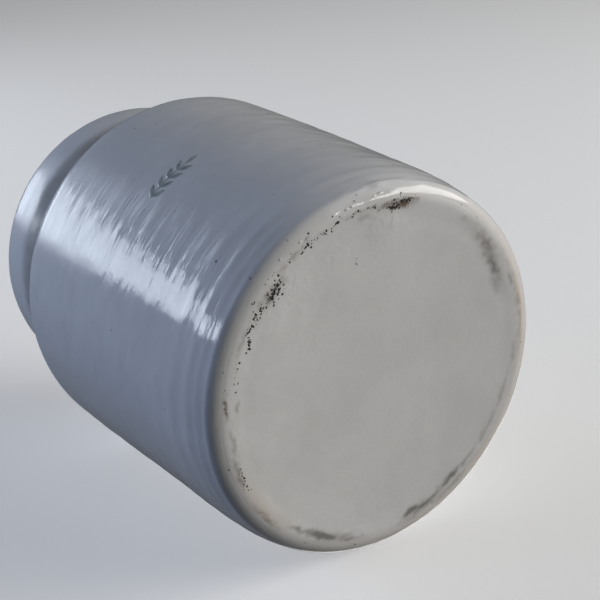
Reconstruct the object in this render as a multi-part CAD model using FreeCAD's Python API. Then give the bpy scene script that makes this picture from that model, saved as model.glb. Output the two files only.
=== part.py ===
import FreeCAD, Part
import math
import os

# Hand-thrown apothecary jar, upright, mouth up. Millimetres.
# Origin: centre of the flat base. +Z runs up the jar's axis of revolution.

# ---- Driving dimensions: outside, over the glaze ----
JAR_HEIGHT = 133.2        # base to the top of the lip
BASE_RADIUS = 45.5        # flat bare patch that the jar stands on
FOOT_RADIUS = 50.4        # where the foot rounding meets the wall
FOOT_RISE = 3.3           # height of the foot rounding
WALL_FLARE = 0.22         # radius gained per millimetre of height where the wall leaves the foot
WALL_LOW = (51.6, 13.0)   # radius, height: the wall swells just above the foot
WALL_MID = (52.2, 32.0)
WALL_HIGH = (53.2, 62.0)
SHOULDER_RADIUS = 53.8    # widest place, where the shoulder begins to turn in
SHOULDER_START = 94.0
SHOULDER_ROUNDING = 8.0   # radius of the shoulder's turn
SHOULDER_TURN_DEG = 62.0  # how far the shoulder turns before it falls into the groove
NECK_RADIUS = 42.8        # bottom of the tie groove under the rim
NECK_HEIGHT = 110.5
RIM_RADIUS = 45.1         # the rim's plain band
RIM_LOW = 120.0           # the band starts here, above the groove
LIP_ROUNDING = 3.5        # radius of the lip's outer edge

# ---- Driving dimensions: fired clay and glaze ----
GLAZE = 0.5               # glaze on the wall and the neck
GLAZE_FOOT = 0.1          # glaze thins out under the foot rounding
GLAZE_STOP_DEG = -74.0    # where the glaze ends on the foot rounding, -90 is the flat base
CLAY_WALL = 5.0
CLAY_FLOOR = 8.0
FLOOR_FILLET = 7.0        # inside corner between the floor and the wall
LIP_INNER_ROUNDING = 2.0
MOUTH_LOW = 114.5         # the mouth's straight taper ends at this height
THROAT_LOW = 107.0        # below it the inside opens a little,
THROAT_FLARE = 1.2        # by this much
UNDER_SHOULDER_HEIGHT = 97.0
UNDER_SHOULDER_STEP = 3.5    # how much narrower than the inside wall it is there
INNER_WALL_TOP = 87.0     # the straight inside wall ends at this height

# ---- Driving dimensions: mouth and stopper ----
MOUTH_RADIUS = 38.8       # inside the glaze, at the top of the lip
MOUTH_TAPER = 0.04        # radius lost per millimetre of depth
STOPPER_BOTTOM = 117.0
STOPPER_TOP = 139.5
STOPPER_GAP = 0.15        # all round, between the cork and the glazed mouth
STOPPER_BEVEL = 1.2

# ---- Driving dimensions: painted mark ----
MARK_CENTRE_DEG = 102.0   # round the jar, counted from +X towards +Y
MARK_HEIGHT = 54.0
MARK_LIFT = 0.06          # thickness of the paint
MARK_PLANE = 60.0         # the flat drawing stands this far out from the axis
MARK_DEPTH = 15.0         # and is pushed this far in, through the wall's surface
LEAF_LENGTH = 4.6
LEAF_WIDTH = 1.9
LEAF_STEP = 3.3           # spacing of the leaf pairs along the stem
LEAF_LEAN_DEG = 42.0
LEAF_PAIRS = 4
FIRST_LEAF = 1.0          # from the stem's foot
END_LEAF_OVERLAP = 1.5    # how far the end leaf's root lies back along the stem
STEM_LENGTH = 15.0
STEM_WIDTH = 0.7

# ---- Driving dimensions: kiln grit ----
GRAIN_RADIUS = 0.24
GRAIN_SHRINK = 0.12       # every second and third grain is smaller by this share
GRAIN_RING = 47.5         # distance from the axis, where the foot rounding leaves the table
GRAIN_STAGGER = 0.25      # every second grain lies further out
GRAIN_LOWEST = 0.03       # clear of the surface that the jar stands on
GRAIN_ARCS = ((78.0, 92.0, 9), (134.0, 147.0, 7), (28.0, 34.0, 3), (52.0, 57.0, 3))    # degrees, count

FOOT_STEPS = 8            # spans of the foot rounding's curve
ARC_MIDDLE = 1 - math.sqrt(0.5)    # how far a quarter round's middle lies in from the sharp corner


def point(radius, height):
    """A point of the half section: radius along +X, height along +Z."""
    return FreeCAD.Vector(radius, 0, height)


def line(start, end):
    return Part.LineSegment(start, end).toShape()


def smooth(points, first_tangent=None, last_tangent=None):
    """One smooth curve through a few points of the half section."""
    curve = Part.BSplineCurve()
    if first_tangent is None:
        curve.interpolate(Points=points)
    else:
        curve.interpolate(Points=points, InitialTangent=first_tangent, FinalTangent=last_tangent)
    return curve


def foot_arc(inset, sink, start_deg, end_deg):
    """Part of the foot rounding, an elliptical quarter from the base (-90) to the wall (0)."""
    reach = FOOT_RADIUS - BASE_RADIUS - inset
    rise = FOOT_RISE - sink
    points = []
    for step in range(FOOT_STEPS + 1):
        turn = math.radians(start_deg + (end_deg - start_deg) * step / FOOT_STEPS)
        points.append(point(BASE_RADIUS + reach * math.cos(turn), FOOT_RISE + rise * math.sin(turn)))
    return smooth(points).toShape()


def wall_curve(inset):
    """The wall from the top of the foot rounding to the widest place of the shoulder."""
    places = [(FOOT_RADIUS, FOOT_RISE), WALL_LOW, WALL_MID, WALL_HIGH, (SHOULDER_RADIUS, SHOULDER_START)]
    points = [point(radius - inset, height) for radius, height in places]
    return smooth(points, point(WALL_FLARE, 1), point(0, 1)).toShape()


def shoulder_and_neck(inset):
    """The shoulder's turn, its fall into the tie groove, and the groove's rise to the rim."""
    centre = SHOULDER_RADIUS - SHOULDER_ROUNDING
    reach = SHOULDER_ROUNDING - inset

    def on_shoulder(turn_deg):
        turn = math.radians(turn_deg)
        return point(centre + reach * math.cos(turn), SHOULDER_START + reach * math.sin(turn))

    brow = on_shoulder(SHOULDER_TURN_DEG)
    turn = Part.Arc(on_shoulder(0.0), on_shoulder(SHOULDER_TURN_DEG / 2), brow).toShape()
    inward = math.radians(SHOULDER_TURN_DEG + 90.0)
    falling = point(math.cos(inward), math.sin(inward))
    upward = point(0, 1)
    groove = point(NECK_RADIUS - inset, NECK_HEIGHT)
    band = point(RIM_RADIUS - inset, RIM_LOW)
    fall = smooth([brow, groove], falling, upward).toShape()
    rise = smooth([groove, band], upward, upward).toShape()
    return [turn, fall, rise]


def mouth_radius(height):
    """Radius of the glazed mouth, which narrows slowly downwards to seat the stopper."""
    return MOUTH_RADIUS - MOUTH_TAPER * (JAR_HEIGHT - height)


def rim_and_lip(inset):
    """The rim's band and the rounded lip, as far as the inner edge of the mouth."""
    outer = RIM_RADIUS - inset
    top = JAR_HEIGHT - inset
    turn = JAR_HEIGHT - LIP_ROUNDING
    inner_turn = JAR_HEIGHT - LIP_INNER_ROUNDING
    inner = mouth_radius(inner_turn) + inset
    corner = LIP_ROUNDING - inset
    inner_corner = LIP_INNER_ROUNDING - inset
    band = line(point(outer, RIM_LOW), point(outer, turn))
    outer_round = Part.Arc(
        point(outer, turn),
        point(outer - corner * ARC_MIDDLE, top - corner * ARC_MIDDLE),
        point(outer - corner, top),
    ).toShape()
    flat = line(point(outer - corner, top), point(inner + inner_corner, top))
    inner_round = Part.Arc(
        point(inner + inner_corner, top),
        point(inner + inner_corner * ARC_MIDDLE, top - inner_corner * ARC_MIDDLE),
        point(inner, inner_turn),
    ).toShape()
    return [band, outer_round, flat, inner_round]


def inner_outline(inset):
    """The inside, from the inner edge of the mouth down to the middle of the floor."""
    lip = JAR_HEIGHT - LIP_INNER_ROUNDING
    throat = mouth_radius(MOUTH_LOW) + inset
    wall_inside = SHOULDER_RADIUS - CLAY_WALL - 2 * GLAZE + inset
    foot_inside = FOOT_RADIUS - CLAY_WALL - 2 * GLAZE + inset
    floor = CLAY_FLOOR + GLAZE - inset
    corner_top = floor + FLOOR_FILLET
    corner_end = foot_inside - FLOOR_FILLET
    mouth = line(point(mouth_radius(lip) + inset, lip), point(throat, MOUTH_LOW))
    bends = [
        point(throat, MOUTH_LOW),
        point(throat + THROAT_FLARE, THROAT_LOW),
        point(wall_inside - UNDER_SHOULDER_STEP, UNDER_SHOULDER_HEIGHT),
        point(wall_inside, INNER_WALL_TOP),
    ]
    under_shoulder = smooth(bends, point(0, -1), point(0, -1)).toShape()
    wall = line(point(wall_inside, INNER_WALL_TOP), point(foot_inside, corner_top))
    middle = point(foot_inside - FLOOR_FILLET * ARC_MIDDLE, corner_top - FLOOR_FILLET * (1 - ARC_MIDDLE))
    corner = Part.Arc(point(foot_inside, corner_top), middle, point(corner_end, floor)).toShape()
    flat = line(point(corner_end, floor), point(0, floor))
    return [mouth, under_shoulder, wall, corner, flat]


def outer_outline(inset, sink, foot_start_deg):
    """The outside, from a place on the foot rounding up to the inner edge of the mouth."""
    edges = [foot_arc(inset, sink, foot_start_deg, 0.0)]
    edges.append(wall_curve(inset))
    edges.extend(shoulder_and_neck(inset))
    edges.extend(rim_and_lip(inset))
    return edges


def revolve(edges):
    """Turn a closed half section about the jar's axis into one solid."""
    wire = Part.Wire(Part.__sortEdges__(edges))
    face = Part.Face(wire)
    solid = face.revolve(FreeCAD.Vector(0, 0, 0), FreeCAD.Vector(0, 0, 1), 360)
    if solid.Volume < 0:
        solid.reverse()
    return solid


def first_point(edge):
    return edge.valueAt(edge.FirstParameter)


def last_point(edge):
    return edge.valueAt(edge.LastParameter)


def make_clay_body():
    """The fired pot: everything under the two layers of glaze."""
    outside = [foot_arc(GLAZE, 0.0, -90.0, GLAZE_STOP_DEG)]
    outside.extend(outer_outline(GLAZE, 0.0, GLAZE_STOP_DEG))
    inside = inner_outline(GLAZE)
    axis = line(last_point(inside[-1]), point(0, 0))
    base = line(point(0, 0), point(BASE_RADIUS, 0))
    return revolve(outside + inside + [axis, base])


def make_outer_glaze():
    """The skin of glaze over the outside and the lip. It stops short of the bare base."""
    over = outer_outline(0.0, -GLAZE_FOOT, GLAZE_STOP_DEG)
    under = outer_outline(GLAZE, 0.0, GLAZE_STOP_DEG)
    foot_edge = line(first_point(under[0]), first_point(over[0]))
    lip_edge = line(last_point(over[-1]), last_point(under[-1]))
    return revolve(over + under + [foot_edge, lip_edge])


def make_inner_glaze():
    """The skin of glaze that lines the inside, from the lip to the floor."""
    over = inner_outline(0.0)
    under = inner_outline(GLAZE)
    lip_edge = line(first_point(under[0]), first_point(over[0]))
    axis = line(last_point(over[-1]), last_point(under[-1]))
    return revolve(over + under + [lip_edge, axis])


def make_cork_stopper():
    """A tapered cork bung with bevelled edges, one part of it standing out of the mouth."""
    low = mouth_radius(STOPPER_BOTTOM) - STOPPER_GAP
    high = mouth_radius(STOPPER_TOP) - STOPPER_GAP
    cork = Part.makeCone(low, high, STOPPER_TOP - STOPPER_BOTTOM, FreeCAD.Vector(0, 0, STOPPER_BOTTOM))
    rims = [edge for edge in cork.Edges if isinstance(edge.Curve, Part.Circle)]
    return cork.makeChamfer(STOPPER_BEVEL, rims)


def leaf_outline(along, side):
    """A pointed leaf that springs from the stem; along and side are lengths on the wall."""
    lean = math.radians(LEAF_LEAN_DEG) * side
    tip = (along + LEAF_LENGTH * math.cos(lean), LEAF_LENGTH * math.sin(lean))
    middle = ((along + tip[0]) / 2, tip[1] / 2)
    across = (-math.sin(lean) * LEAF_WIDTH / 2, math.cos(lean) * LEAF_WIDTH / 2)
    upper = (middle[0] + across[0], middle[1] + across[1])
    lower = (middle[0] - across[0], middle[1] - across[1])
    return (along, 0.0), upper, tip, lower


def flat_point(along, up):
    """A point of the flat drawing, which stands out from the jar on its +X side."""
    return FreeCAD.Vector(MARK_PLANE, along, MARK_HEIGHT + up)


def leaf_face(along, side):
    root, upper, tip, lower = [flat_point(*place) for place in leaf_outline(along, side)]
    top_edge = Part.Arc(root, upper, tip).toShape()
    low_edge = Part.Arc(tip, lower, root).toShape()
    return Part.Face(Part.Wire([top_edge, low_edge]))


def stem_face():
    """The straight stem, a narrow rectangle."""
    along = STEM_LENGTH / 2
    up = STEM_WIDTH / 2
    places = [(-along, -up), (along, -up), (along, up), (-along, up), (-along, -up)]
    return Part.Face(Part.makePolygon([flat_point(*place) for place in places]))


def paint_shell():
    """A thin layer on the wall round the mark, cut to paint strokes by make_brush_mark."""
    under = wall_curve(0.0)
    over = wall_curve(-MARK_LIFT)
    low_edge = line(first_point(under), first_point(over))
    high_edge = line(last_point(under), last_point(over))
    return revolve([under, over, low_edge, high_edge])


def make_brush_mark():
    """A plain leaf sprig, painted along the circumference."""
    inward = FreeCAD.Vector(-MARK_DEPTH, 0, 0)
    faces = [stem_face(), leaf_face(STEM_LENGTH / 2 - END_LEAF_OVERLAP, 0)]
    for pair in range(LEAF_PAIRS):
        root = -STEM_LENGTH / 2 + FIRST_LEAF + pair * LEAF_STEP
        faces.extend([leaf_face(root, -1), leaf_face(root, 1)])
    strokes = [face.extrude(inward) for face in faces]
    drawing = strokes[0].fuse(strokes[1:]).removeSplitter()
    mark = drawing.common(paint_shell())
    mark.rotate(FreeCAD.Vector(0, 0, 0), FreeCAD.Vector(0, 0, 1), MARK_CENTRE_DEG)
    return mark


def make_grain(turn, index):
    """One grain of sand: every second lies further out, and their sizes take turns."""
    radius = GRAIN_RADIUS * (1 - GRAIN_SHRINK * (index % 3))
    ring = GRAIN_RING + GRAIN_STAGGER * (index % 2)
    centre = FreeCAD.Vector(ring * math.cos(turn), ring * math.sin(turn), radius + GRAIN_LOWEST)
    return Part.makeSphere(radius, centre)


def make_kiln_grit(clay, glaze):
    """Grains of kiln sand, fused to the foot rounding where the glaze ends."""
    grains = []
    for start_deg, end_deg, count in GRAIN_ARCS:
        for index in range(count):
            turn = math.radians(start_deg + (end_deg - start_deg) * index / (count - 1))
            grains.extend(make_grain(turn, index).cut(clay).cut(glaze).Solids)
    return Part.makeCompound(grains)


def save(name, shape):
    shape.exportStep(os.path.join("parts", name + ".step"))
    print(name, "solids", len(shape.Solids), "valid", shape.isValid(), "volume", round(shape.Volume, 2))


def main():
    os.makedirs("parts", exist_ok=True)
    clay = make_clay_body()
    glaze = make_outer_glaze()
    save("clay_body", clay)
    save("outer_glaze", glaze)
    save("inner_glaze", make_inner_glaze())
    save("cork_stopper", make_cork_stopper())
    save("brush_mark", make_brush_mark())
    save("kiln_grit", make_kiln_grit(clay, glaze))


main()
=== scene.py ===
import math

import bmesh
import bpy
import numpy as np
from mathutils import Matrix, Vector


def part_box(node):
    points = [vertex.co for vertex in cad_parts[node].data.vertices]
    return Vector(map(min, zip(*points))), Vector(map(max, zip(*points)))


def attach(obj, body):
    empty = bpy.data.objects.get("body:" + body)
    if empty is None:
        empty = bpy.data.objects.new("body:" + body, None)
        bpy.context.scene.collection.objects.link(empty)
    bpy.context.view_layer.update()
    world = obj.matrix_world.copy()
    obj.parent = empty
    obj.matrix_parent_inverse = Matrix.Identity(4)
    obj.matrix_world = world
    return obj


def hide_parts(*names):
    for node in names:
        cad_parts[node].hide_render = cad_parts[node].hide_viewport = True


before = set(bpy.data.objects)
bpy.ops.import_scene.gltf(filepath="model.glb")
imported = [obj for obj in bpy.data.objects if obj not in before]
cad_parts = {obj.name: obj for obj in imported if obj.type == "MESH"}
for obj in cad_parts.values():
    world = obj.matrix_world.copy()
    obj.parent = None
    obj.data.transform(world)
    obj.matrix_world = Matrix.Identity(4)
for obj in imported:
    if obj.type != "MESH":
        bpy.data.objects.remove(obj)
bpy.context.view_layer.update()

# The jar stands upright on Z = 0 with its mouth up. Lengths are metres; MM turns millimetres into them.
MM = 0.001

# ---- The turned outline, over the glaze (the same driving sizes as the CAD model) ----
JAR_HEIGHT = 133.2 * MM
BASE_RADIUS = 45.5 * MM
FOOT_RADIUS = 50.4 * MM
FOOT_RISE = 3.3 * MM
WALL_FLARE = 0.20      # radius gained per unit of height where the wall leaves the foot
WALL_LOW = (51.6 * MM, 13.0 * MM)
WALL_MID = (52.2 * MM, 32.0 * MM)
WALL_HIGH = (53.2 * MM, 62.0 * MM)
SHOULDER_RADIUS = 53.8 * MM
SHOULDER_START = 94.0 * MM
SHOULDER_ROUNDING = 8.0 * MM
SHOULDER_TURN = math.radians(62.0)
NECK_RADIUS = 42.8 * MM
NECK_HEIGHT = 110.5 * MM
RIM_RADIUS = 45.1 * MM
RIM_LOW = 120.0 * MM
LIP_ROUNDING = 3.5 * MM
LIP_INNER_ROUNDING = 2.0 * MM
MOUTH_RADIUS = 38.8 * MM
MOUTH_TAPER = 0.04
GLAZE = 0.5 * MM
GLAZE_START = math.radians(-88.0)
CLAY_WALL = 5.0 * MM
CLAY_FLOOR = 8.0 * MM
FLOOR_FILLET = 7.0 * MM
MOUTH_LOW = 114.5 * MM              # the mouth's straight taper ends here
UNDER_SHOULDER_HEIGHT = 97.0 * MM
UNDER_SHOULDER_STEP = 3.5 * MM      # how much narrower than the inside wall it is there
UNDER_SHOULDER_SLANT = (0.45, -0.9)
INNER_WALL_TOP = 87.0 * MM
STOPPER_GAP = 0.15 * MM

# ---- How far the hand-thrown pot strays from a true turned shape ----
RIM_SHIFT = (1.26 * MM, -0.155 * MM)   # the neck and rim lean to one side
FOOT_OVAL = 0.45 * MM
FOOT_OVAL_TURN = math.radians(-15.0)
FOOT_OVAL_FADE = 22.0 * MM
WALL_WAVE = 0.14 * MM
BASE_DISH = 0.45 * MM
THROW_CLIMB = 1.2 * MM                 # how far the throwing lines climb in one turn
RIM_SWELL = 0.20 * MM
# Throwing marks: noise seed, cells round the jar, height of a cell and swing in millimetres.
RIB_MARKS = ((21, 4, 5.5, 0.040), (22, 9, 1.9, 0.014), (24, 16, 14.0, 0.06))
FINGER_MARKS = ((25, 52, 2.4, 0.040), (28, 84, 3.2, 0.030), (29, 58, 3.6, 0.06))
# Ridges above the foot: height, how it follows the drift, half width and size in millimetres.
FOOT_RIDGES = ((16.2, 1, 1.9, 0.12), (9.4, 1, 1.5, 0.20), (5.9, 0, 0.9, 0.11), (23.5, -1, 1.8, 0.05))

# ---- Mesh density ----
GLAZE_SEGMENTS = 400
CLAY_SEGMENTS = 420
LINING_SEGMENTS = 160
CORK_SEGMENTS = 360
NOISE_CELLS = 64       # lattice cells each way before space_noise repeats

TAU = 2 * math.pi


# =====================================================================================
# Outline
# =====================================================================================
def spread(start, end, count):
    return [start + (end - start) * i / count for i in range(count + 1)]


def arc_points(centre, reach_r, reach_z, start, end, count):
    """Points of an elliptical arc of the half section, as (radius, height)."""
    return [
        (centre[0] + reach_r * math.cos(a), centre[1] + reach_z * math.sin(a))
        for a in spread(start, end, count)
    ]


def hermite(p0, p1, t0, t1, count):
    """A smooth run from p0 to p1 with end directions t0 and t1, scaled by the distance."""
    length = math.dist(p0, p1)
    points = []
    for u in spread(0.0, 1.0, count):
        a = 2 * u**3 - 3 * u**2 + 1
        b = (u**3 - 2 * u**2 + u) * length
        c = -2 * u**3 + 3 * u**2
        d = (u**3 - u**2) * length
        points.append(tuple(a * p0[k] + b * t0[k] + c * p1[k] + d * t1[k] for k in (0, 1)))
    return points


def join(*runs):
    """Runs of points end to end, without the doubled joints."""
    points = list(runs[0])
    for run in runs[1:]:
        points.extend(run[1:])
    return points


def even(points, spacing):
    """The same line with its points at equal steps along it."""
    line = np.array(points)
    steps = np.hypot(*np.diff(line, axis=0).T)
    run = np.concatenate([[0.0], np.cumsum(steps)])
    count = max(2, round(run[-1] / spacing))
    at = np.linspace(0.0, run[-1], count + 1)
    return list(zip(np.interp(at, run, line[:, 0]), np.interp(at, run, line[:, 1])))


def mouth_radius(height):
    return MOUTH_RADIUS - MOUTH_TAPER * (JAR_HEIGHT - height)


def foot_run(inset, sink, start, end, count=14):
    reach = FOOT_RADIUS - BASE_RADIUS - inset
    return arc_points((BASE_RADIUS, FOOT_RISE), reach, FOOT_RISE - sink, start, end, count)


def wall_run(inset):
    """The swelling wall, as a smooth curve through its five driving places."""
    places = [(FOOT_RADIUS, FOOT_RISE), WALL_LOW, WALL_MID, WALL_HIGH, (SHOULDER_RADIUS, SHOULDER_START)]
    slopes = [WALL_FLARE]
    for before, after in zip(places, places[2:]):
        slopes.append((after[0] - before[0]) / (after[1] - before[1]))
    slopes.append(0.0)
    runs = []
    for (low, high), (slope_low, slope_high) in zip(zip(places, places[1:]), zip(slopes, slopes[1:])):
        ends = [(low[0] - inset, low[1]), (high[0] - inset, high[1])]
        runs.append(hermite(ends[0], ends[1], (slope_low, 1.0), (slope_high, 1.0), 12))
    return join(*runs)


def wall_radius(height):
    line = np.array(wall_run(0.0))
    return np.interp(height, line[:, 1], line[:, 0])


def neck_run(inset):
    """The shoulder's turn, its fall into the tie groove and the groove's rise to the rim."""
    centre = (SHOULDER_RADIUS - SHOULDER_ROUNDING, SHOULDER_START)
    reach = SHOULDER_ROUNDING - inset
    turn = arc_points(centre, reach, reach, 0.0, SHOULDER_TURN, 14)
    falling = (-math.sin(SHOULDER_TURN), math.cos(SHOULDER_TURN))
    groove = (NECK_RADIUS - inset, NECK_HEIGHT)
    band = (RIM_RADIUS - inset, RIM_LOW)
    fall = hermite(turn[-1], groove, falling, (0.0, 1.0), 16)
    rise = hermite(groove, band, (0.0, 1.0), (0.0, 1.0), 14)
    return join(turn, fall, rise)


def lip_run(inset):
    """The rim's band and the rounded lip, as far as the inner edge of the mouth."""
    top = JAR_HEIGHT - LIP_ROUNDING
    inner_top = JAR_HEIGHT - LIP_INNER_ROUNDING
    corner = LIP_ROUNDING - inset
    inner_corner = LIP_INNER_ROUNDING - inset
    inner = mouth_radius(inner_top) + LIP_INNER_ROUNDING
    outer = arc_points((RIM_RADIUS - LIP_ROUNDING, top), corner, corner, 0.0, math.pi / 2, 10)
    inward = arc_points((inner, inner_top), inner_corner, inner_corner, math.pi / 2, math.pi, 8)
    return join([(RIM_RADIUS - inset, RIM_LOW), outer[0]], outer, [outer[-1], inward[0]], inward)


def inner_run(inset):
    """The inside, from the inner edge of the mouth down to the middle of the floor."""
    wall_top = SHOULDER_RADIUS - 2 * GLAZE - CLAY_WALL + inset
    wall_foot = FOOT_RADIUS - 2 * GLAZE - CLAY_WALL + inset
    floor = CLAY_FLOOR + GLAZE - inset
    mouth = [(mouth_radius(h) + inset, h) for h in (JAR_HEIGHT - LIP_INNER_ROUNDING, MOUTH_LOW)]
    down = (0.0, -1.0)
    under = (wall_top - UNDER_SHOULDER_STEP, UNDER_SHOULDER_HEIGHT)
    bend = (wall_top, INNER_WALL_TOP)
    fall = hermite(mouth[1], under, down, UNDER_SHOULDER_SLANT, 12)
    widen = hermite(under, bend, UNDER_SHOULDER_SLANT, down, 10)
    centre = (wall_foot - FLOOR_FILLET, floor + FLOOR_FILLET)
    corner = arc_points(centre, FLOOR_FILLET, FLOOR_FILLET, 0.0, -math.pi / 2, 10)
    return join(mouth, fall, widen, [bend, corner[0]], corner, [corner[-1], (0.0, floor)])



# =====================================================================================
# Hand-made unevenness
# =====================================================================================
def ease(value, low, high):
    """0 below low, 1 above high, smooth between."""
    t = np.clip((value - low) / (high - low), 0.0, 1.0)
    return t * t * (3 - 2 * t)


def round_noise(seed, cells_round, cell_up, turn, height):
    """Smooth noise from -1 to 1 that closes on itself round the jar."""
    grid = np.random.default_rng(seed).uniform(-1.0, 1.0, (cells_round, 512))
    u = np.mod(turn / TAU, 1.0) * cells_round
    v = np.mod(height / cell_up + 64.0, 510.0)
    i, j = np.floor(u).astype(int), np.floor(v).astype(int)
    fu, fv = ease(u - i, 0.0, 1.0), ease(v - j, 0.0, 1.0)
    i, after = i % cells_round, (i + 1) % cells_round
    low = grid[i, j] * (1 - fu) + grid[after, j] * fu
    high = grid[i, j + 1] * (1 - fu) + grid[after, j + 1] * fu
    return low * (1 - fv) + high * fv


def space_noise(seed, cell, points):
    """Smooth noise from -1 to 1 through space, with lumps about two cells across."""
    grid = np.random.default_rng(seed).uniform(-1.0, 1.0, (NOISE_CELLS,) * 3)
    at = points / cell
    corner = np.floor(at).astype(int)
    share = ease(at - corner, 0.0, 1.0)
    total = np.zeros(points.shape[:-1])
    for offset in np.ndindex(2, 2, 2):
        weight = np.prod(np.where(offset, share, 1 - share), axis=-1)
        i, j, k = np.moveaxis((corner + offset) % NOISE_CELLS, -1, 0)
        total += weight * grid[i, j, k]
    return total


def warp(points):
    """Bends any point of the true turned shape as the thrown pot is bent."""
    x, y, z = points[..., 0], points[..., 1], points[..., 2]
    radius = np.hypot(x, y)
    turn = np.arctan2(y, x)
    share = ease(radius, 10 * MM, 45 * MM)
    oval = -FOOT_OVAL * np.cos(2 * (turn - FOOT_OVAL_TURN)) * (1 - ease(z, 0.0, FOOT_OVAL_FADE))
    wave = WALL_WAVE * round_noise(11, 7, 26 * MM, turn, z) * ease(z, 2 * MM, 20 * MM)
    swollen = (radius + (oval + wave) * share) / np.maximum(radius, 1e-9)
    lean = ease(z, 96 * MM, 118 * MM)
    return np.stack([x * swollen + RIM_SHIFT[0] * lean, y * swollen + RIM_SHIFT[1] * lean, z], -1)


def ridge(height, at, half_width):
    """A rounded ridge of height 1."""
    return np.exp(-((height - at) / half_width) ** 2)


def marks(table, turn, climb):
    """The sum of a table of throwing marks."""
    total = 0.0
    for seed, cells, up, swing in table:
        total = total + swing * MM * round_noise(seed, cells, up * MM, turn, climb)
    return total


def throwing_lines(turn, height):
    """Ridges left by the potter's fingers and rib, in metres along the surface's normal."""
    climb = height + THROW_CLIMB * turn / TAU
    fingers = marks(FINGER_MARKS, turn, climb) * (1 - 0.45 * ease(height, 55 * MM, 85 * MM))
    drift = 0.7 * MM * round_noise(27, 5, 1.0, turn, 0 * turn)
    strength = 0.8 + 0.5 * round_noise(26, 6, 1.0, turn, 0 * turn)
    foot = sum(
        size * MM * ridge(height, at * MM + follows * drift, half_width * MM)
        for at, follows, half_width, size in FOOT_RIDGES
    )
    rim = RIM_SWELL * ridge(height, 125 * MM, 4 * MM)
    return marks(RIB_MARKS, turn, climb) + fingers + foot * strength + rim



# =====================================================================================
# Mesh helpers
# =====================================================================================
def lathe_points(section, segments):
    """Every point of a half section carried round the axis, as an array of rings."""
    turn = np.arange(segments) * TAU / segments
    line = np.array(section)
    radius, height = line[:, :1], line[:, 1:]
    ring = [radius * np.cos(turn), radius * np.sin(turn), height + 0 * turn]
    return np.stack(ring, -1), turn


def section_normals(section):
    """Outward normals of a half section whose points run up the outside."""
    line = np.array(section)
    along = np.gradient(line, axis=0)
    normal = np.stack([along[:, 1], -along[:, 0]], -1)
    return normal / np.linalg.norm(normal, axis=1, keepdims=True)


def push_out(rings, section, turn, amount):
    """Moves each ring's points along the section's normal by an amount per point."""
    normal = section_normals(section)
    out = rings.copy()
    out[..., 0] += amount * normal[:, :1] * np.cos(turn)
    out[..., 1] += amount * normal[:, :1] * np.sin(turn)
    out[..., 2] += amount * normal[:, 1:]
    return out


def ring_faces(rings, segments, closed):
    """Quads between neighbouring rings; closed joins the last ring to the first."""
    count = rings if closed else rings - 1
    i = np.arange(count)[:, None]
    j = np.arange(segments)[None, :]
    after_i, after_j = (i + 1) % rings, (j + 1) % segments
    low, high = i * segments, after_i * segments
    quads = [low + j, low + after_j, high + after_j, high + j]
    return np.stack(np.broadcast_arrays(*quads), -1).reshape(-1, 4).tolist()


def new_piece(name, points, faces):
    mesh = bpy.data.meshes.new(name)
    mesh.from_pydata([tuple(p) for p in points], [], faces)
    mesh.polygons.foreach_set("use_smooth", [True] * len(mesh.polygons))
    mesh.update()
    piece = bpy.data.objects.new(name, mesh)
    bpy.context.scene.collection.objects.link(piece)
    return piece


def skin_piece(name, outside, inside, segments):
    """A closed shell between two ring arrays that run the same way."""
    rings = np.concatenate([outside, inside[::-1]])
    faces = ring_faces(len(rings), segments, True)
    return new_piece(name, rings.reshape(-1, 3), faces)


def solid_piece(name, rings, first_pole, last_pole, segments):
    """A closed solid from rings whose first and last ring close on points of the axis."""
    points = list(rings.reshape(-1, 3)) + [first_pole, last_pole]
    faces = ring_faces(len(rings), segments, False)
    start, end = len(points) - 2, len(points) - 1
    last = (len(rings) - 1) * segments
    for j in range(segments):
        after = (j + 1) % segments
        faces.append([start, after, j])
        faces.append([end, last + j, last + after])
    return new_piece(name, points, faces)


def unit_ball(subdivisions):
    """Points and triangles of a round ball of radius 1."""
    builder = bmesh.new()
    bmesh.ops.create_icosphere(builder, subdivisions=subdivisions, radius=1.0)
    points = np.array([v.co[:] for v in builder.verts])
    faces = [[v.index for v in f.verts] for f in builder.faces]
    builder.free()
    return points, faces


def add_mask(piece, name, values):
    layer = piece.data.attributes.new(name, "FLOAT", "POINT")
    layer.data.foreach_set("value", np.asarray(values, dtype=np.float32))


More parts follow.
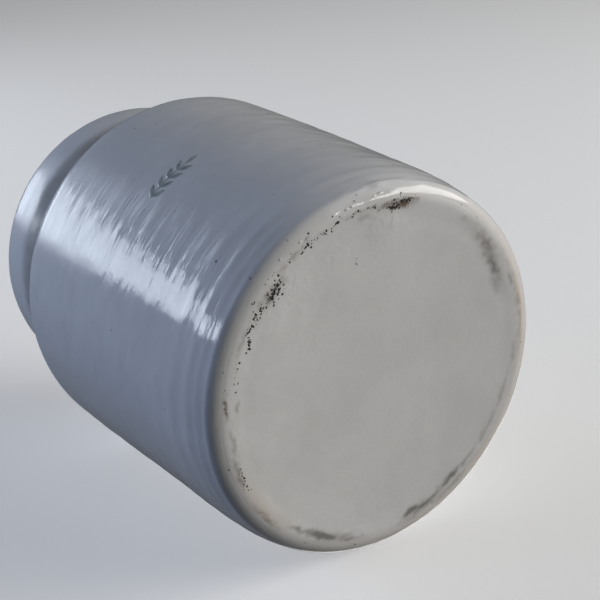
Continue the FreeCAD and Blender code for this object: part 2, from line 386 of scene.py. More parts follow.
# =====================================================================================
# Material helpers
# =====================================================================================
class Nodes:
    """A short way to write a material's nodes."""

    def __init__(self, name):
        self.material = bpy.data.materials.new(name)
        self.material.use_nodes = True
        self.tree = self.material.node_tree
        self.tree.nodes.clear()

    def add(self, kind, inputs=None, **settings):
        node = self.tree.nodes.new(kind)
        for key, value in settings.items():
            setattr(node, key, value)
        for key, value in (inputs or {}).items():
            if isinstance(value, bpy.types.NodeSocket):
                self.tree.links.new(value, node.inputs[key])
            else:
                node.inputs[key].default_value = value
        return node

    def place(self):
        return self.add("ShaderNodeTexCoord").outputs["Object"]

    def noise(self, scale, detail=3.0, roughness=0.55, vector=None, distortion=0.0):
        inputs = {"Scale": scale, "Detail": detail, "Roughness": roughness, "Distortion": distortion}
        inputs["Vector"] = vector or self.place()
        return self.add("ShaderNodeTexNoise", inputs).outputs["Fac"]

    def math(self, operation, a, b=0.0, c=0.0, clamp=False):
        settings = {"operation": operation, "use_clamp": clamp}
        return self.add("ShaderNodeMath", {0: a, 1: b, 2: c}, **settings).outputs[0]

    def times(self, a, b, clamp=False):
        return self.math("MULTIPLY", a, b, clamp=clamp)

    def along(self, place, side):
        """How far a place lies towards a side: the dot product of the two."""
        inputs = {0: place, 1: side}
        return self.add("ShaderNodeVectorMath", inputs, operation="DOT_PRODUCT").outputs["Value"]

    def stretched(self, place, scale):
        return self.add("ShaderNodeMapping", {"Vector": place, "Scale": scale}).outputs[0]

    def ramp(self, value, low, high, to_low=0.0, to_high=1.0):
        inputs = {"Value": value, "From Min": low, "From Max": high, "To Min": to_low, "To Max": to_high}
        return self.add("ShaderNodeMapRange", inputs, interpolation_type="SMOOTHSTEP").outputs["Result"]

    def mix(self, share, a, b):
        node = self.add("ShaderNodeMix", data_type="RGBA")
        for index, value in ((0, share), (6, a), (7, b)):
            if isinstance(value, bpy.types.NodeSocket):
                self.tree.links.new(value, node.inputs[index])
            else:
                node.inputs[index].default_value = value
        return node.outputs[2]

    def mask(self, name):
        return self.add("ShaderNodeAttribute", attribute_name=name).outputs["Fac"]

    def bump(self, height, distance, strength=1.0, normal=None):
        inputs = {"Height": height, "Distance": distance, "Strength": strength}
        if normal is not None:
            inputs["Normal"] = normal
        return self.add("ShaderNodeBump", inputs).outputs["Normal"]

    def finish(self, inputs):
        shader = self.add("ShaderNodeBsdfPrincipled", inputs)
        self.add("ShaderNodeOutputMaterial", {"Surface": shader.outputs["BSDF"]})
        return self.material


def grey(value):
    return (value, value, value, 1.0)


def give(piece, material, slot, body, *nodes):
    piece.data.materials.clear()
    piece.data.materials.append(material)
    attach(piece, body)
    if nodes:
        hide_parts(*nodes)


GLAZE_COLOUR = (0.73, 0.735, 0.745, 1.0)
LINING_COLOUR = (0.66, 0.67, 0.67, 1.0)
FLUSHED_SIDE = (-0.26, -0.97, 0.0)    # the fire left a warm blush on this side of the foot
PINHOLES = ((87.7, 15.0), (150.0, 71.0), (12.0, 48.0), (-96.0, 63.0), (-140.0, 27.0))   # degrees, mm up
SPECK_TONE = (0.12, 0.11, 0.10, 1.0)
PINHOLE_TONE = (0.05, 0.045, 0.04, 1.0)
THIN_TONE = (0.70, 0.68, 0.65, 1.0)
BLUSH_TONE = (0.72, 0.63, 0.56, 1.0)
# painted shade for the tie groove
GROOVE_SHADE_TONE = (0.36, 0.35, 0.31, 1.0)


def wall_point(turn_deg, height):
    radius, turn = wall_radius(height), math.radians(turn_deg)
    return (radius * math.cos(turn), radius * math.sin(turn), height)


def glaze_material(name, colour):
    n = Nodes(name)
    place = n.place()
    height = n.add("ShaderNodeSeparateXYZ", {0: place}).outputs["Z"]
    lighter = tuple(c * 1.03 for c in colour[:3]) + (1.0,)
    darker = tuple(c * 0.97 for c in colour[:3]) + (1.0,)
    tone = n.mix(n.ramp(n.noise(55.0, 4.0, 0.6), 0.35, 0.65), darker, lighter)
    # thin glaze and a warm blush where it ends at the foot
    thin = n.ramp(height, 0.1 * MM, 1.7 * MM, 1.0, 0.0)
    thin = n.times(thin, n.ramp(n.noise(170.0), 0.3, 0.6, 0.2, 0.7))
    tone = n.mix(thin, tone, THIN_TONE)
    flushed = n.ramp(n.along(place, FLUSHED_SIDE), -20 * MM, 40 * MM)
    flushed = n.times(flushed, n.ramp(height, 0.6 * MM, 3.2 * MM, 0.45, 0.0))
    tone = n.mix(flushed, tone, BLUSH_TONE)
    # painted shade in the tie groove: the glaze is painted darker down in the hollow
    groove = n.times(n.ramp(height, 106 * MM, 115 * MM), n.ramp(height, 117 * MM, 122 * MM, 1.0, 0.0))
    groove_shade = n.times(groove, n.ramp(n.noise(60.0, 3.0, 0.6), 0.25, 0.65, 0.35, 0.75))
    tone = n.mix(groove_shade, tone, GROOVE_SHADE_TONE)
    specks = n.ramp(n.noise(900.0, 1.0, 0.4), 0.785, 0.81)
    tone = n.mix(n.times(specks, 0.7), tone, SPECK_TONE)
    for turn_deg, up in PINHOLES:
        hole = {0: place, 1: wall_point(turn_deg, up * MM)}
        far = n.add("ShaderNodeVectorMath", hole, operation="DISTANCE").outputs["Value"]
        tone = n.mix(n.ramp(far, 0.22 * MM, 0.50 * MM, 0.9, 0.0), tone, PINHOLE_TONE)
    # the gloss wears off towards the neck
    worn = n.ramp(height, 30 * MM, 116 * MM, 0.0, 0.14)
    rough = n.math("ADD", n.ramp(n.noise(140.0, 3.0, 0.6), 0.2, 0.8, 0.085, 0.12), worn)
    lines = n.noise(1.0, 3.0, 0.55, vector=n.stretched(place, (130.0, 130.0, 800.0)))
    normal = n.bump(lines, 0.085 * MM, 1.0)
    short = n.noise(1.0, 2.0, 0.5, vector=n.stretched(place, (330.0, 330.0, 1100.0)))
    normal = n.bump(short, 0.03 * MM, 1.0, normal)
    normal = n.bump(n.noise(420.0, 2.0, 0.5), 0.006 * MM, 1.0, normal)
    return n.finish({"Base Color": tone, "Roughness": rough, "Normal": normal, "IOR": 1.5})


def clay_material():
    n = Nodes("fired_clay")
    cloudy = n.noise(38.0, 5.0, 0.65)
    grain = n.noise(1500.0, 3.0, 0.7)
    soot_mask = n.mask("soot")
    tone = n.mix(n.ramp(cloudy, 0.3, 0.7), (0.68, 0.675, 0.665, 1.0), (0.76, 0.755, 0.745, 1.0))
    # painted shade: one side of the base is painted a little greyer, where less light would fall
    shaded_side = n.ramp(n.along(n.place(), (0.75, 0.66, 0.0)), -0.04, 0.05, 0.22, 0.0)
    tone = n.mix(shaded_side, tone, (0.42, 0.42, 0.42, 1.0))
    tone = n.mix(n.ramp(grain, 0.3, 0.62, 0.09, 0.0), tone, (0.36, 0.33, 0.30, 1.0))
    tone = n.mix(n.mask("warm"), tone, (0.62, 0.53, 0.44, 1.0))
    soft = n.math("MULTIPLY_ADD", n.ramp(n.noise(170.0, 4.0, 0.6), 0.30, 0.62), 0.6, 0.6)
    smudge = n.times(n.mask("smudge"), soft, clamp=True)
    tone = n.mix(n.times(smudge, 0.85), tone, (0.165, 0.155, 0.14, 1.0))
    rust = n.times(n.mask("rust"), n.ramp(n.noise(420.0, 4.0, 0.7), 0.34, 0.54), clamp=True)
    tone = n.mix(n.times(rust, 0.95), tone, (0.15, 0.095, 0.055, 1.0))
    # soot: ragged specks, as many as the mask allows, and clumps where the noise peaks
    specks = n.add("ShaderNodeTexVoronoi", {"Vector": n.place(), "Scale": 1500.0}, feature="F1")
    draw = n.add("ShaderNodeSeparateXYZ", {0: specks.outputs["Color"]}).outputs["X"]
    there = n.math("LESS_THAN", draw, n.times(soot_mask, 0.8))
    ragged = n.math("ADD", specks.outputs["Distance"], n.times(n.noise(2600.0, 2.0, 0.6), 0.7))
    soot = n.times(n.ramp(ragged, 0.76, 0.92, 1.0, 0.0), there)
    clumps = n.math("ADD", n.noise(1150.0, 2.5, 0.65), n.times(soot_mask, 0.30))
    soot = n.math("MAXIMUM", soot, n.ramp(clumps, 0.76, 0.79))
    tone = n.mix(soot, tone, (0.018, 0.015, 0.013, 1.0))
    rough = n.ramp(cloudy, 0.3, 0.7, 0.42, 0.55)
    normal = n.bump(n.noise(95.0, 4.0, 0.5), 0.16 * MM, 0.7)
    creased = n.times(n.noise(210.0, 4.0, 0.6, distortion=1.6), n.mask("creased"))
    normal = n.bump(creased, 0.4 * MM, 1.0, normal)
    normal = n.bump(grain, 0.008 * MM, 0.6, normal)
    return n.finish({"Base Color": tone, "Roughness": rough, "Normal": normal, "IOR": 1.45})


def paint_material():
    n = Nodes("leaf_paint")
    patchy = n.ramp(n.noise(700.0, 3.0, 0.6), 0.2, 0.7, 0.45, 1.0)
    tone = n.mix(n.times(n.mask("stroke"), patchy, clamp=True), GLAZE_COLOUR, (0.27, 0.32, 0.305, 1.0))
    return n.finish({"Base Color": tone, "Roughness": 0.12, "IOR": 1.5})


def grit_material():
    n = Nodes("kiln_sand")
    mineral = n.ramp(n.noise(900.0, 2.0, 0.5), 0.4, 0.6)
    tone = n.mix(mineral, (0.02, 0.017, 0.015, 1.0), (0.10, 0.055, 0.035, 1.0))
    normal = n.bump(n.noise(4000.0, 2.0, 0.6), 0.03 * MM)
    return n.finish({"Base Color": tone, "Roughness": 0.6, "Normal": normal})


def cork_material():
    n = Nodes("cork_bark")
    place = n.place()
    cells = n.add("ShaderNodeTexVoronoi", {"Vector": place, "Scale": 700.0}, feature="F1")
    cells = cells.outputs["Distance"]
    cloudy = n.noise(90.0, 5.0, 0.65)
    tone = n.mix(n.ramp(cloudy, 0.3, 0.7), (0.40, 0.235, 0.115, 1.0), (0.56, 0.365, 0.20, 1.0))
    tone = n.mix(n.ramp(cells, 0.2, 0.7, 0.0, 0.25), tone, (0.30, 0.16, 0.08, 1.0))
    pores = n.noise(1.0, 4.0, 0.65, vector=n.stretched(place, (260.0, 90.0, 420.0)))
    pores = n.ramp(pores, 0.60, 0.70)
    tone = n.mix(n.times(pores, 0.9), tone, (0.09, 0.045, 0.022, 1.0))
    normal = n.bump(n.ramp(pores, 0.0, 1.0, 1.0, 0.0), 0.35 * MM, 0.8)
    normal = n.bump(cloudy, 0.2 * MM, 0.5, normal)
    normal = n.bump(cells, 0.06 * MM, 0.5, normal)
    return n.finish({"Base Color": tone, "Roughness": 0.82, "Normal": normal, "IOR": 1.4})



# =====================================================================================
# The pot
# =====================================================================================
# Stains on the bare base: degrees round the jar, millimetres out, half widths in degrees and
# millimetres, strength.
SMUDGES = (
    (341, 44.0, 9.0, 1.0, 1.3), (352, 44.2, 4.5, 0.7, 0.9), (330, 45.0, 5.0, 0.7, 0.8),
    (304, 43.5, 4.0, 0.9, 1.1), (298, 44.2, 5.0, 0.9, 1.0), (291, 43.9, 4.5, 0.7, 0.8),
    (284, 43.2, 4.5, 0.9, 1.0), (274, 43.5, 5.0, 0.7, 0.6), (262, 43.8, 6.0, 0.7, 0.5),
    (246, 43.8, 6.0, 0.6, 0.45), (232, 44.4, 6.0, 0.7, 0.4), (194, 41.9, 7.0, 1.3, 0.95),
    (186, 43.2, 5.0, 1.2, 0.6), (202, 40.6, 4.0, 1.1, 0.55), (204, 45.1, 3.0, 0.6, 0.5),
    (171, 44.4, 2.5, 0.6, 0.25), (50, 43.4, 2.0, 0.4, 0.7), (30, 45.4, 4.0, 0.5, 0.6),
    (38, 44.8, 3.0, 0.5, 0.5), (107, 46.8, 1.2, 0.5, 0.8), (127, 43.6, 1.5, 0.8, 0.4),
    (141, 44.9, 5.5, 0.9, 0.6), (86, 44.6, 6.0, 1.2, 0.25),
)
SOOT = (
    (88, 44.1, 5.0, 1.9, 1.1), (81, 44.6, 3.0, 1.0, 0.9), (91, 44.4, 2.0, 0.8, 0.95),
    (75, 45.1, 2.5, 0.6, 1.0), (70, 43.6, 1.3, 0.6, 1.35), (138, 44.3, 3.5, 0.8, 1.3),
    (143, 45.4, 3.0, 0.7, 1.2), (130, 45.4, 1.6, 0.5, 1.1), (121, 32.6, 0.8, 0.35, 1.3),
    (117, 45.3, 4.0, 0.5, 1.05), (107, 45.4, 5.0, 0.4, 0.8), (60, 44.6, 7.0, 0.5, 0.45),
    (24, 45.0, 4.0, 0.4, 0.7), (52, 46.3, 1.5, 0.4, 0.8), (125, 45.4, 4.0, 0.4, 0.9),
)
RUST = (
    (140, 44.8, 5.5, 0.9, 1.6), (146, 46.0, 2.5, 0.7, 1.4), (52, 46.3, 1.8, 0.6, 1.2),
    (27, 45.7, 5.0, 0.6, 0.7), (8, 46.0, 6.0, 0.9, 0.5), (184, 43.8, 6.0, 1.3, 0.55),
    (215, 46.2, 18.0, 0.7, 0.35), (300, 45.3, 12.0, 0.7, 0.4), (100, 46.0, 9.0, 0.5, 0.5),
    (72, 45.8, 8.0, 0.6, 0.4), (285, 45.8, 14.0, 0.6, 0.4), (43, 45.2, 3.0, 0.5, 0.4),
    (87, 44.4, 6.5, 1.7, 0.55), (125, 45.5, 6.0, 0.5, 0.5),
)
CREASES = (
    (135, 40.5, 7.0, 3.0, 0.8), (90, 41.0, 10.0, 2.5, 0.7), (86, 33.5, 5.0, 2.0, 0.5),
    (112, 38.0, 12.0, 3.0, 0.3),
)
WARM = (
    (10, 45.0, 14.0, 2.5, 0.5), (215, 47.0, 22.0, 1.5, 0.6), (270, 47.5, 30.0, 1.5, 0.5),
    (330, 46.5, 20.0, 1.2, 0.3),
)
STAINS = {"smudge": SMUDGES, "soot": SOOT, "rust": RUST, "creased": CREASES, "warm": WARM}


def stain_mask(points, stains):
    """How strongly a set of stains marks each point of the base, from 0 to 1."""
    radius = np.hypot(points[:, 0], points[:, 1]) / MM + 0.55 * space_noise(81, 1.3 * MM, points)
    turn = np.degrees(np.arctan2(points[:, 1], points[:, 0])) + 2.4 * space_noise(82, 1.7 * MM, points)
    total = np.zeros(len(points))
    for at, out, half_turn, half_out, strength in stains:
        round_way = np.mod(turn - at + 180.0, 360.0) - 180.0
        far = (round_way / half_turn) ** 2 + ((radius - out) / half_out) ** 2
        total = np.maximum(total, strength * np.exp(-far))
    return np.where(points[:, 2] < 2 * MM, total, 0.0)


def clay_foot_run():
    """The foot rounding: bare clay lies flush with the glaze and dips where the glaze covers it."""
    points = []
    for a in spread(-math.pi / 2, 0.0, 30):
        dip = GLAZE * float(ease(math.degrees(a), -70.0, -54.0))
        reach, rise = FOOT_RADIUS - BASE_RADIUS - dip, FOOT_RISE - dip / 2
        points.append((BASE_RADIUS + reach * math.cos(a), FOOT_RISE + rise * math.sin(a)))
    points[-1] = (FOOT_RADIUS - GLAZE, FOOT_RISE)
    return points


def build_clay_pot():
    """The bare clay: its base is all that shows, the rest lies under the glaze."""
    base_in = [(r, 0.0) for r in spread(1.5 * MM, 36 * MM, 23)]
    base_out = [(r, 0.0) for r in spread(36 * MM, BASE_RADIUS, 24)]
    hidden = even(join(wall_run(GLAZE), neck_run(GLAZE), lip_run(GLAZE)), 3.0 * MM)
    inside = even(inner_run(GLAZE), 4.0 * MM)[:-1]
    section = join(base_in, base_out, clay_foot_run(), hidden, inside)
    rings, _ = lathe_points(section, CLAY_SEGMENTS)
    rings = warp(rings)
    base = rings[:len(base_in) + len(base_out) - 1]
    radius = np.hypot(base[..., 0], base[..., 1])
    relief = 0.14 * MM * (0.5 + 0.5 * space_noise(31, 9 * MM, base))
    relief += 0.05 * MM * (0.5 + 0.5 * space_noise(32, 3 * MM, base))
    relief += BASE_DISH * (1 - (radius / BASE_RADIUS) ** 2)
    base[..., 2] += relief * (1 - ease(radius, 41 * MM, BASE_RADIUS))
    poles = [(0.0, 0.0, BASE_DISH + 0.08 * MM), (0.0, 0.0, CLAY_FLOOR)]
    piece = solid_piece("clay_pot", rings, *poles, CLAY_SEGMENTS)
    points = np.array([v.co[:] for v in piece.data.vertices])
    for name, stains in STAINS.items():
        add_mask(piece, name, stain_mask(points, stains))
    give(piece, clay_material(), "clay", "jar", "clay_body")


def glaze_section(inset, sink, fine):
    """The glazed outside from the foot's glaze line to the mouth, closer points where fine."""
    foot = even(foot_run(inset, sink, GLAZE_START, 0.0, 24), 0.36 * MM if fine else 1.5 * MM)
    wall = even(wall_run(inset), 0.62 * MM if fine else 6.0 * MM)
    top = even(join(neck_run(inset), lip_run(inset)), 1.1 * MM if fine else 3.5 * MM)
    return join(foot, wall, top)


def glaze_line(turn):
    """How far out the glaze stops on the foot rounding, wandering round the jar."""
    still = 0 * turn
    wander = 0.45 * round_noise(41, 11, 1.0, turn, still) + 0.30 * round_noise(42, 34, 1.0, turn, still)
    return (46.7 + wander + 0.14 * round_noise(44, 90, 1.0, turn, still)) * MM


def glaze_lift(turn, radius, height):
    """The glaze surface over the true outline: under the bare clay first, then flush with it."""
    line = glaze_line(turn)
    covers = ease(radius, line - 0.9 * MM, line + 0.9 * MM)
    low = 1 - ease(height, 0.7 * MM, 3.0 * MM)
    lumpy = ridge(turn, math.radians(134), math.radians(16))
    lumps = 0.22 * round_noise(43, 96, 0.9 * MM, turn, height) * lumpy
    return (-0.05 * (1 - covers) + 0.012 * covers * low + lumps * covers) * MM


def build_glaze():
    outer = glaze_section(0.0, 0.0, True)
    rings, turn = lathe_points(outer, GLAZE_SEGMENTS)
    height = rings[..., 2]
    radius = np.hypot(rings[..., 0], rings[..., 1])
    lines = throwing_lines(turn, height) * ease(height, 1 * MM, 6 * MM)
    lines = lines * ease(radius, MOUTH_RADIUS + 0.8 * MM, MOUTH_RADIUS + 2.8 * MM)    # clear of the cork
    lift = np.where(height < 3 * MM, glaze_lift(turn, radius, height), 0.0)
    rings = push_out(rings, outer, turn, lines + lift)
    rings[..., 2] = np.maximum(rings[..., 2], 0.0)
    under, _ = lathe_points(glaze_section(GLAZE, 0.3 * MM, False), GLAZE_SEGMENTS)
    piece = skin_piece("glaze_outside", warp(rings), warp(under), GLAZE_SEGMENTS)
    give(piece, glaze_material("white_glaze", GLAZE_COLOUR), "glaze", "jar", "outer_glaze")


# Drops of glaze that ran together at the foot: degrees round the jar, millimetres out, length, width.
BEADS = (
    (121.8, 47.3, 1.9, 1.1), (123.6, 47.5, 1.1, 0.9), (131.8, 47.9, 2.1, 1.3), (134.2, 48.2, 2.6, 1.2),
    (137.6, 48.0, 2.4, 1.3), (104.5, 47.4, 1.3, 0.9), (97.0, 47.8, 1.4, 0.8),
)
BEAD_HEIGHT = 0.42 * MM
BEAD_SUNK = 0.68          # the share of its height that lies in the glaze


def build_beads():
    """Flat drops that lie on the foot rounding, an elliptical quarter from the base to the wall."""
    reach = FOOT_RADIUS - BASE_RADIUS
    ball, ball_faces = unit_ball(3)
    points, faces = [], []
    for turn_deg, out, length, width in BEADS:
        turn, out = math.radians(turn_deg), out * MM
        outward = Vector((math.cos(turn), math.sin(turn), 0.0))
        along = Vector((-math.sin(turn), math.cos(turn), 0.0))
        a = math.acos((out - BASE_RADIUS) / reach)
        rise = FOOT_RISE * (1 - math.sin(a))
        tilt = math.atan2(math.sin(a) * reach, math.cos(a) * FOOT_RISE)
        normal = outward * math.cos(tilt) + Vector((0.0, 0.0, -math.sin(tilt)))
        height = min(BEAD_HEIGHT, 1.6 * rise)
        axes = (along * length / 2 * MM, normal.cross(along) * width / 2 * MM, normal * height)
        centre = outward * out + Vector((0.0, 0.0, rise)) - normal * height * BEAD_SUNK
        faces.extend([[index + len(points) for index in face] for face in ball_faces])
        points.extend(ball @ np.array(axes) + warp(np.array(centre)))
    piece = new_piece("glaze_beads", points, faces)
    give(piece, glaze_material("bead_glaze", GLAZE_COLOUR), "glaze", "jar", "outer_glaze")


def build_lining():
    over = even(inner_run(0.0), 1.6 * MM)[:-1]
    under = even(inner_run(GLAZE), 4.0 * MM)[:-1]
    over_rings, turn = lathe_points(over, LINING_SEGMENTS)
    under_rings, _ = lathe_points(under, LINING_SEGMENTS)
    height = over_rings[..., 2]
    ridges = 0.10 * MM * round_noise(51, 5, 5 * MM, turn, height)
    ridges = ridges * (1 - ease(height, 104 * MM, 113 * MM))    # clear of the cork
    over_rings = push_out(over_rings, over, turn, ridges)
    rings = np.concatenate([warp(over_rings)[::-1], warp(under_rings)])
    poles = [(0.0, 0.0, CLAY_FLOOR + GLAZE), (0.0, 0.0, CLAY_FLOOR)]
    piece = solid_piece("glaze_inside", rings, *poles, LINING_SEGMENTS)
    piece.data.flip_normals()
    give(piece, glaze_material("lining_glaze", LINING_COLOUR), "lining", "jar", "inner_glaze")



# =====================================================================================
# The painted leaf sprig
# =====================================================================================
MARK_CENTRE = math.radians(102.0)
MARK_HEIGHT = 54.0 * MM
LEAF_LENGTH = 4.6 * MM
LEAF_WIDTH = 1.9 * MM
LEAF_STEP = 3.3 * MM
LEAF_LEAN = math.radians(42.0)
LEAF_BLUNT = 0.9         # 1 gives a pointed stroke, 0 a square one
LEAF_PAIRS = 4
FIRST_LEAF = 1.0 * MM    # from the stem's foot
END_LEAF_OVERLAP = 1.5 * MM
STEM_LENGTH = 15.0 * MM
STEM_WIDTH = 0.7 * MM
STEM_BLUNT = 0.35
PAINT_LIFT = 0.014 * MM
PAINT_SUNK = 0.01 * MM


def on_wall(along, up, lift):
    """A place of the flat drawing laid on the uneven wall, lifted off it a little."""
    height = MARK_HEIGHT + up
    turn = MARK_CENTRE + along / wall_radius(MARK_HEIGHT)
    radius = wall_radius(height) + throwing_lines(turn, height) + lift
    return warp(np.stack([radius * np.cos(turn), radius * np.sin(turn), height], -1))


def stroke_points(root, lean, length, width, blunt):
    """A brush stroke as a lens-shaped patch: rows along it, seven points across."""
    along = np.linspace(0.0, 1.0, 22)[:, None]
    across = np.linspace(-1.0, 1.0, 7)[None, :]
    half = width / 2 * np.sin(math.pi * np.clip(along, 0.02, 0.98)) ** blunt
    x = root[0] + along * length * math.cos(lean) - across * half * math.sin(lean)
    y = root[1] + along * length * math.sin(lean) + across * half * math.cos(lean)
    body = np.sqrt(np.maximum(1 - across**2, 0)) + 0 * along
    return x, y, body


def build_mark():
    points, faces, paint = [], [], []
    foot, tip = -STEM_LENGTH / 2, STEM_LENGTH / 2
    strokes = [((foot, 0.0), 0.0, STEM_LENGTH, STEM_WIDTH, STEM_BLUNT)]
    strokes.append(((tip - END_LEAF_OVERLAP, 0.0), 0.0, LEAF_LENGTH, LEAF_WIDTH, LEAF_BLUNT))
    for pair in range(LEAF_PAIRS):
        root = (foot + FIRST_LEAF + pair * LEAF_STEP, 0.0)
        for side in (-1, 1):
            strokes.append((root, LEAF_LEAN * side, LEAF_LENGTH, LEAF_WIDTH, LEAF_BLUNT))
    for stroke in strokes:
        x, y, body = stroke_points(*stroke)
        start = len(points)
        for lift in (PAINT_LIFT * body, -PAINT_LIFT * body - PAINT_SUNK):
            points.extend(on_wall(x, y, lift).reshape(-1, 3))
            paint.extend(np.clip(body * 1.3, 0.0, 1.0).reshape(-1))
        faces.extend(closed_patch(start, *x.shape))
    piece = new_piece("leaf_mark", points, faces)
    add_mask(piece, "stroke", paint)
    give(piece, paint_material(), "paint", "jar", "brush_mark")


def closed_patch(start, rows, columns):
    """Faces of an upper and a lower grid of points, joined round their edge."""
    lower = start + rows * columns
    faces = []
    for i in range(rows - 1):
        for j in range(columns - 1):
            a, b = i * columns + j, (i + 1) * columns + j
            faces.append([start + a, start + a + 1, start + b + 1, start + b])
            faces.append([lower + a, lower + b, lower + b + 1, lower + a + 1])
    edge = list(range(columns))
    edge += [i * columns + columns - 1 for i in range(1, rows)]
    edge += [(rows - 1) * columns + j for j in range(columns - 2, -1, -1)]
    edge += [i * columns for i in range(rows - 2, 0, -1)]
    for a, b in zip(edge, edge[1:] + edge[:1]):
        faces.append([start + b, start + a, lower + a, lower + b])
    return faces



# =====================================================================================
# Kiln grit
# =====================================================================================
# Where the grains lie: from and to, in degrees round the jar, and how many.
GRIT_ARCS = ((76, 94, 16), (134, 148, 22), (26, 34, 7), (50, 57, 7), (100, 130, 12), (150, 420, 22))
GRIT_INNERMOST = 45.9    # millimetres out
GRIT_SPREAD = 1.7
GRAIN_SIZES = (0.10 * MM, 0.26 * MM)


def grain(centre, size, draw):
    """One angular grain: a squashed ball with its corners pushed about."""
    ball, faces = unit_ball(1)
    points = ball * draw.uniform(0.72, 1.15, (len(ball), 1))
    stretch = size * np.array([draw.uniform(0.8, 1.4), draw.uniform(0.8, 1.4), draw.uniform(0.45, 0.7)])
    return points * stretch + centre, faces


def build_grit():
    draw = np.random.default_rng(61)
    points, faces = [], []
    for start, end, count in GRIT_ARCS:
        for _ in range(count):
            turn = math.radians(draw.uniform(start, end))
            out = (GRIT_INNERMOST + draw.uniform(0.0, 1.0) ** 2 * GRIT_SPREAD) * MM
            size = draw.uniform(*GRAIN_SIZES)
            share = min(1.0, (out - BASE_RADIUS) / (FOOT_RADIUS - BASE_RADIUS))
            rise = FOOT_RISE * (1 - math.sqrt(1 - share * share))
            centre = np.array([out * math.cos(turn), out * math.sin(turn), max(rise, size * 0.8)])
            grain_points, grain_faces = grain(warp(centre), size, draw)
            faces.extend([[index + len(points) for index in face] for face in grain_faces])
            points.extend(grain_points)
    piece = new_piece("foot_grit", points, faces)
    piece.data.polygons.foreach_set("use_smooth", [False] * len(piece.data.polygons))
    give(piece, grit_material(), "grit", "jar", "kiln_grit")


# =====================================================================================
# The cork
# =====================================================================================
CORK_BEVEL = 1.2 * MM


def cork_section(bottom, top):
    """Half section of the bung: under side, worn lower edge, tapered side, upper edge, top."""
    low, high = mouth_radius(bottom) - STOPPER_GAP, mouth_radius(top) - STOPPER_GAP
    bevel = CORK_BEVEL
    under = [(r, bottom) for r in spread(1.0 * MM, low - bevel, 40)]
    low_edge = [under[-1], (low - 0.35 * bevel, bottom + 0.3 * bevel), (low, bottom + bevel)]
    side = even([low_edge[-1], (high, top - bevel)], 0.55 * MM)
    high_edge = [side[-1], (high - 0.3 * bevel, top - 0.35 * bevel), (high - bevel, top)]
    over = [(r, top) for r in spread(high - bevel, 1.0 * MM, 60)]
    return join(under, low_edge, side, high_edge, over)


def build_cork():
    bottom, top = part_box("cork_stopper")[0][2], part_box("cork_stopper")[1][2]
    section = cork_section(bottom, top)
    rings, turn = lathe_points(section, CORK_SEGMENTS)
    rough = space_noise(71, 1.2 * MM, rings) + 0.6 * space_noise(72, 3.5 * MM, rings)
    pits = np.clip(space_noise(73, 1.0 * MM, rings * (0.35, 0.8, 1.0)) - 0.45, 0.0, 1.0) * 2.0
    rings = push_out(rings, section, turn, -0.05 * MM * (1.6 + rough) - 0.55 * MM * pits)
    lean = np.array([RIM_SHIFT[0], RIM_SHIFT[1], 0.0])
    poles = [lean + (0, 0, bottom + 0.1 * MM), lean + (0, 0, top - 0.1 * MM)]
    piece = solid_piece("cork_bung", rings + lean, *poles, CORK_SEGMENTS)
    give(piece, cork_material(), "cork", "stopper", "cork_stopper")


# =====================================================================================
# Camera, lights and stage
# =====================================================================================
VIEW_TURN = math.radians(83.0)      # where the viewer stands round the jar
VIEW_TILT = math.radians(44.59)     # between the line of sight and the jar's axis, seen from below
VIEW_ROLL = math.radians(29.2)
VIEW_DISTANCE = 323.2 * MM
VIEW_TARGET = (7.06 * MM, 43.5 * MM)   # sideways and up from the middle of the base
FOCAL_LENGTH = 76.9
ROOM_UP = Vector((-1.0, 1.0, 0.0)).normalized()   # straight up as the lying jar is seen

JAR_MIDDLE = Vector((0.0, 0.0, 0.05))     # what the lights face
DAYLIGHT = (0.82, 0.90, 1.0)
SKYLIGHT = (0.457, 0.60, 1.0)
SHADE = (0.9, 0.93, 1.0)
LAMPLIGHT = (1.0, 0.98, 0.95)
NEUTRAL = (1.0, 0.99, 0.97)
# Soft lights: name, shape, turn and rise in degrees, distance, size, radiance, colour, and what they
# serve: "matt" lights without being reflected, "shine" is only reflected.
LIGHTS = (
    ("window", "RECTANGLE", 72, 66.5, 0.9, (0.27, 0.30), 5.8, DAYLIGHT, "both"),
    ("window_sill", "RECTANGLE", 66.5, 53, 0.9, (0.25, 0.125), 5.0, DAYLIGHT, "both"),
    ("window_low", "RECTANGLE", 65.5, 45.5, 0.9, (0.165, 0.115), 6.0, DAYLIGHT, "both"),
    ("window_foot", "ELLIPSE", 62.5, 31.5, 0.9, (0.14, 0.14), 8.0, DAYLIGHT, "shine"),
    ("window_edge_0", "RECTANGLE", 91, 60, 0.9, (0.16, 0.24), 0.32, DAYLIGHT, "both"),
    ("window_edge_1", "RECTANGLE", 95, 60, 0.9, (0.16, 0.24), 0.32, DAYLIGHT, "both"),
    ("window_edge_2", "RECTANGLE", 99, 60, 0.9, (0.16, 0.24), 0.32, DAYLIGHT, "both"),
    ("window_edge_3", "RECTANGLE", 103, 60, 0.9, (0.16, 0.24), 0.32, DAYLIGHT, "both"),
    ("sky", "RECTANGLE", 58, 30, 1.0, (0.7, 0.6), 2.05, SKYLIGHT, "matt"),
    ("bounce", "RECTANGLE", 118, -5, 1.0, (0.6, 0.6), 0.32, SHADE, "matt"),
    ("soft_box", "RECTANGLE", -157, -30, 1.6, (0.62, 1.0), 5.4, LAMPLIGHT, "both"),
    ("soft_box_low", "RECTANGLE", -155, -54, 1.6, (0.26, 0.36), 9.0, LAMPLIGHT, "shine"),
    ("soft_box_edge", "RECTANGLE", -157, -34, 1.6, (1.2, 1.5), 2.9, LAMPLIGHT, "matt"),
    ("front_soft", "RECTANGLE", -62, 22, 1.1, (0.9, 0.6), 2.6, NEUTRAL, "matt"),
    ("front_fill", "RECTANGLE", -78, 17, 1.1, (0.8, 0.42), 1.8, NEUTRAL, "both"),
)


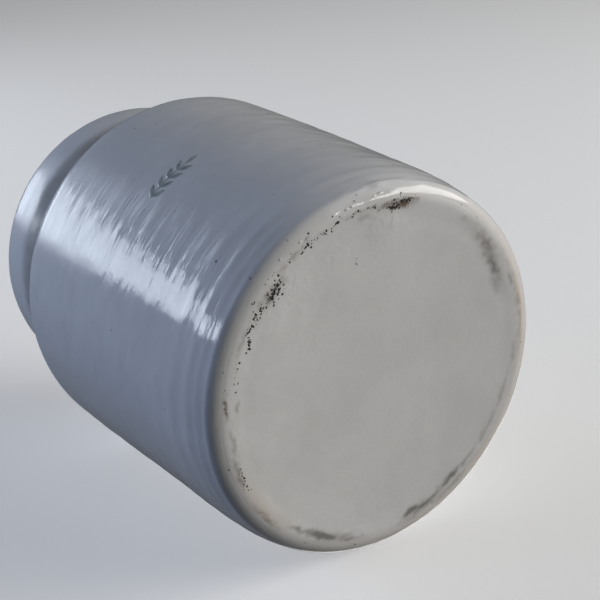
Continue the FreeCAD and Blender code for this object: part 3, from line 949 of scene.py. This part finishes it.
def build_camera():
    data = bpy.data.cameras.new("view")
    data.sensor_width = 36.0
    data.lens = FOCAL_LENGTH
    data.clip_start = 0.01
    camera = bpy.data.objects.new("view", data)
    bpy.context.scene.collection.objects.link(camera)
    toward = Vector((math.cos(VIEW_TURN), math.sin(VIEW_TURN), 0.0))
    aside = Vector((-math.sin(VIEW_TURN), math.cos(VIEW_TURN), 0.0))
    place = toward * math.sin(VIEW_TILT) * VIEW_DISTANCE
    place.z = -math.cos(VIEW_TILT) * VIEW_DISTANCE
    target = aside * VIEW_TARGET[0] + Vector((0, 0, VIEW_TARGET[1]))
    forward = (target - place).normalized()
    right = forward.cross(aside).normalized()
    up = right.cross(forward)
    rolled_right = right * math.cos(VIEW_ROLL) + up * math.sin(VIEW_ROLL)
    rolled_up = up * math.cos(VIEW_ROLL) - right * math.sin(VIEW_ROLL)
    axes = Matrix((rolled_right, rolled_up, -forward)).transposed()
    camera.matrix_world = Matrix.Translation(place) @ axes.to_4x4()
    bpy.context.scene.camera = camera


def direction(turn_deg, rise_deg):
    turn, rise = math.radians(turn_deg), math.radians(rise_deg)
    return Vector((math.cos(turn) * math.cos(rise), math.sin(turn) * math.cos(rise), math.sin(rise)))


def soft_light(name, shape, turn_deg, rise_deg, distance, size, radiance, colour, use):
    """A flat soft light that faces the middle of the jar, its height upright."""
    data = bpy.data.lights.new(name, "AREA")
    data.shape = shape
    data.size, data.size_y = size
    data.energy = radiance * math.pi * size[0] * size[1]
    data.color = colour
    lamp = bpy.data.objects.new(name, data)
    bpy.context.scene.collection.objects.link(lamp)
    facing = direction(turn_deg, rise_deg)
    side = Vector((0, 0, 1)).cross(facing).normalized()
    axes = Matrix((side, facing.cross(side), facing)).transposed()
    lamp.matrix_world = Matrix.Translation(JAR_MIDDLE + facing * distance) @ axes.to_4x4()
    lamp.visible_glossy = use != "matt"
    lamp.visible_diffuse = use != "shine"


def build_lights():
    for light in LIGHTS:
        soft_light(*light)


def one_sided(name, tone, glow):
    """A plain surface that is seen from its front only."""
    n = Nodes(name)
    diffuse = n.add("ShaderNodeBsdfDiffuse", {"Color": grey(tone)}).outputs[0]
    shine = n.add("ShaderNodeEmission", {"Color": grey(1.0), "Strength": glow}).outputs[0]
    front = n.add("ShaderNodeAddShader", {0: diffuse, 1: shine}).outputs[0]
    clear = n.add("ShaderNodeBsdfTransparent").outputs[0]
    back = n.add("ShaderNodeNewGeometry").outputs["Backfacing"]
    both = n.add("ShaderNodeMixShader", {0: back, 1: front, 2: clear}).outputs[0]
    n.add("ShaderNodeOutputMaterial", {"Surface": both})
    return n.material


def stage_plane(name, matrix, half, material):
    corners = [(-half, -half, 0), (half, -half, 0), (half, half, 0), (-half, half, 0)]
    plane = new_piece(name, [matrix @ Vector(c) for c in corners], [[0, 1, 2, 3]])
    plane.data.materials.append(material)
    plane.visible_shadow = False
    plane.visible_glossy = False
    plane.visible_diffuse = False


def build_stage():
    """A floor for the upright jar, and a table that the jar lies on as the camera sees it."""
    pale = one_sided("pale_floor", 0.78, 0.24)
    stage_plane("floor", Matrix.Translation((0, 0, -0.1 * MM)), 3.0, pale)
    # the lying jar rests on its shoulder and its foot, each with a hair of clearance
    foot = (51.2 * MM, 8.0 * MM)
    shoulder = (SHOULDER_RADIUS + 0.1 * MM, SHOULDER_START)
    lean = math.atan2(shoulder[0] - foot[0], shoulder[1] - foot[1])
    down, axis = -ROOM_UP, Vector((0, 0, 1))
    normal = ROOM_UP * math.cos(lean) + axis * math.sin(lean)
    along = axis * math.cos(lean) + down * math.sin(lean)
    axes = Matrix((along, normal.cross(along), normal)).transposed()
    touch = down * shoulder[0] + axis * shoulder[1]
    stage_plane("table", Matrix.Translation(touch) @ axes.to_4x4(), 1.2, pale)


def build_world():
    """Pale to the camera, and a dim cool light to everything else."""
    world = bpy.data.worlds.new("room")
    bpy.context.scene.world = world
    world.use_nodes = True
    tree = world.node_tree
    tree.nodes.clear()
    seen = tree.nodes.new("ShaderNodeBackground")
    seen.inputs["Color"].default_value = grey(0.78)
    dim = tree.nodes.new("ShaderNodeBackground")
    dim.inputs["Color"].default_value = (0.85, 0.92, 1.0, 1.0)
    dim.inputs["Strength"].default_value = 0.05
    path = tree.nodes.new("ShaderNodeLightPath")
    both = tree.nodes.new("ShaderNodeMixShader")
    out = tree.nodes.new("ShaderNodeOutputWorld")
    tree.links.new(path.outputs["Is Camera Ray"], both.inputs[0])
    tree.links.new(dim.outputs[0], both.inputs[1])
    tree.links.new(seen.outputs[0], both.inputs[2])
    tree.links.new(both.outputs[0], out.inputs[0])


build_clay_pot()
build_glaze()
build_beads()
build_lining()
build_mark()
build_grit()
build_cork()
build_camera()
build_lights()
build_stage()
build_world()
bpy.context.scene.view_settings.view_transform = "Standard"
